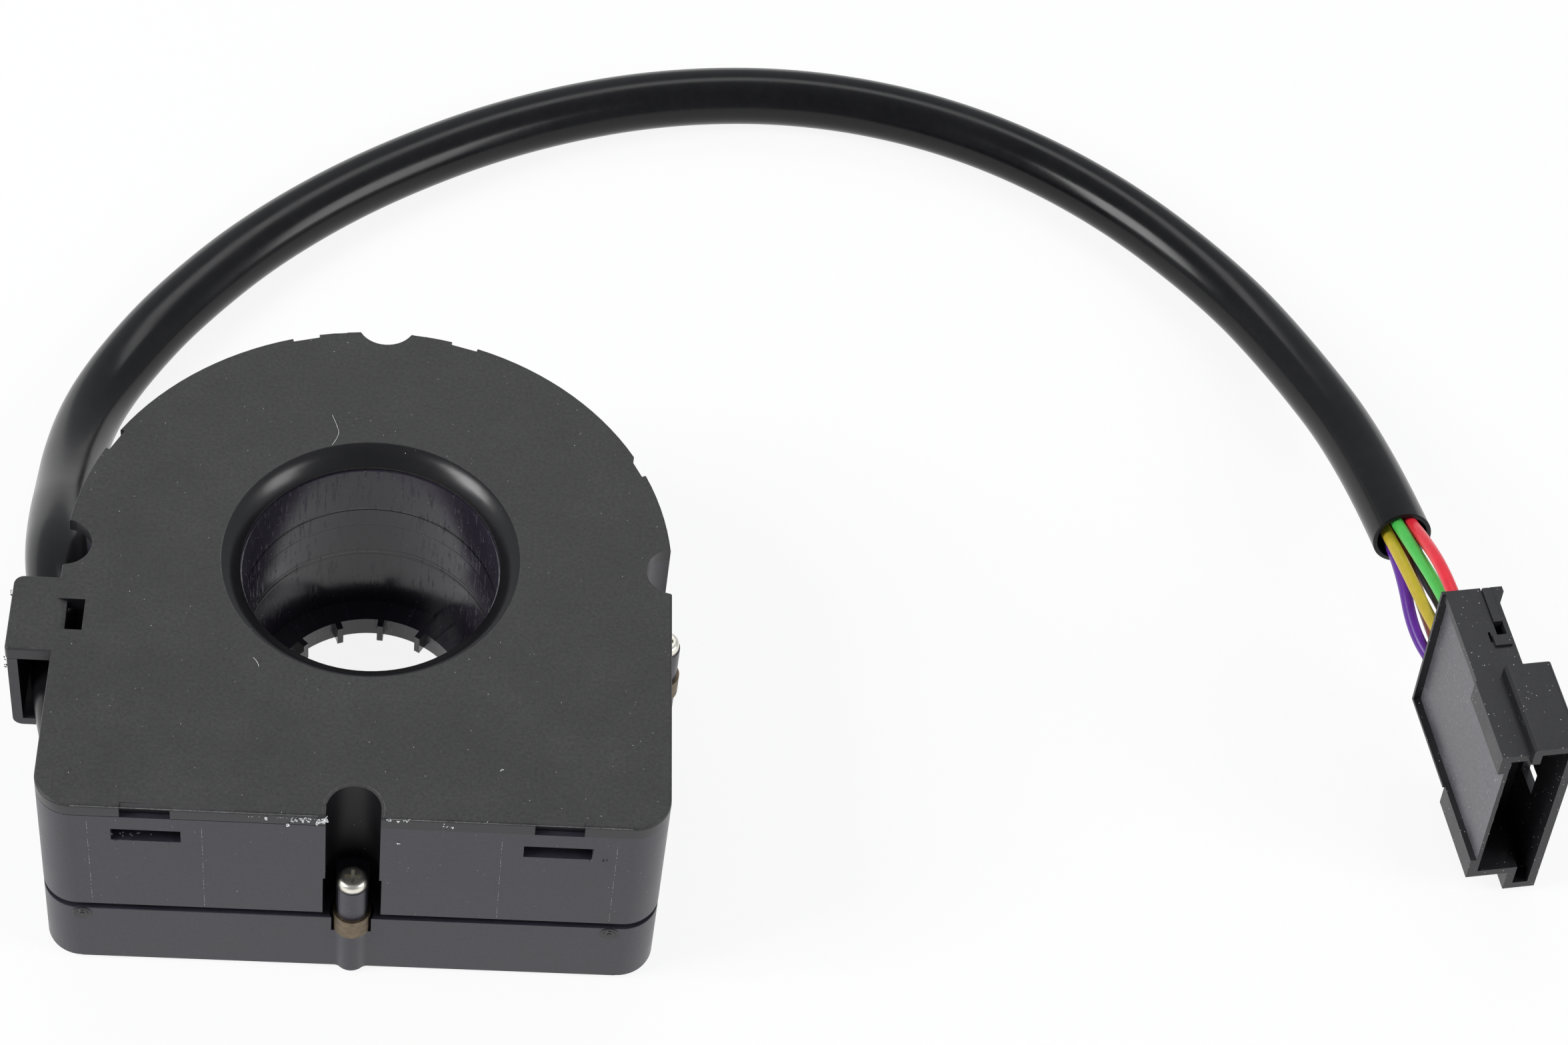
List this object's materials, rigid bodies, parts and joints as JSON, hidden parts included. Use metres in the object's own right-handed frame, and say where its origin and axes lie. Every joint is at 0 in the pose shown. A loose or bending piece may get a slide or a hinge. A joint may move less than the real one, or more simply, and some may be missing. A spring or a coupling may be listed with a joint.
{
  "type": "steering angle sensor",
  "caption": "D-shaped sensor housing with a ribbed rotor in its bore for a steering column, clamping lugs, and a sleeved lead whose wires end in a narrow keyed plug.",
  "frame": {"origin": "on the rotor's axis at the housing's underside, the plane of its drive collar", "axes": "+Z along the rotor's axis, up through the cover; -Y out of the flat front wall; +X to the right"},
  "size_m": [0.175, 0.1405, 0.0292],
  "materials": {
    "housing": "moulded glass-filled plastic, semi-matt black",
    "cover": "moulded plastic, matt dark grey",
    "rotor": "moulded plastic, worn smooth in the bore",
    "disc": "etched steel sheet",
    "slide_ring": "low-friction plastic",
    "board": "green glass-fibre board",
    "package": "moulded black package",
    "can": "drawn can",
    "header": "cream plastic",
    "sleeve": "flexible black plastic tube",
    "plug": "moulded black plastic",
    "terminal": "tinned brass",
    "screw": "dark passivated steel",
    "insert": "turned brass",
    "wire_red": "extruded insulation",
    "wire_green": "extruded insulation",
    "wire_black": "extruded insulation",
    "wire_yellow": "extruded insulation",
    "wire_brown": "extruded insulation",
    "wire_purple": "extruded insulation"
  },
  "bodies": {
    "housing": {"base": "housing", "shell": "housing", "cover": "cover", "circuit_board": "board", "controller_chip": "package", "line_driver_chip": "package", "voltage_regulator": "package", "input_capacitor": "can", "output_capacitor": "can", "resonator": "can", "wire_header": "header", "light_barrier_a": "package", "light_barrier_b": "package", "index_barrier": "package", "screw_front": "screw", "screw_right": "screw", "screw_back": "screw", "screw_left": "screw", "insert_front": "insert", "insert_right": "insert", "insert_back": "insert", "insert_left": "insert", "cable_sleeve": "sleeve", "wire_red": "wire_red", "wire_green": "wire_green", "wire_black": "wire_black", "wire_yellow": "wire_yellow", "wire_brown": "wire_brown", "wire_purple": "wire_purple", "plug_housing": "plug", "terminals": "terminal", "terminal_lock": "plug"},
    "rotor_group": {"rotor": "rotor", "code_disc": "disc", "disc_retainer": "rotor", "slide_ring": "slide_ring"}
  },
  "joints": [
    {"name": "rotor_turn", "type": "hinge", "parent": "housing", "child": "rotor_group", "pos_m": [0, 0, 0], "axis": [0, 0, 1], "continuous": true}
  ]
}
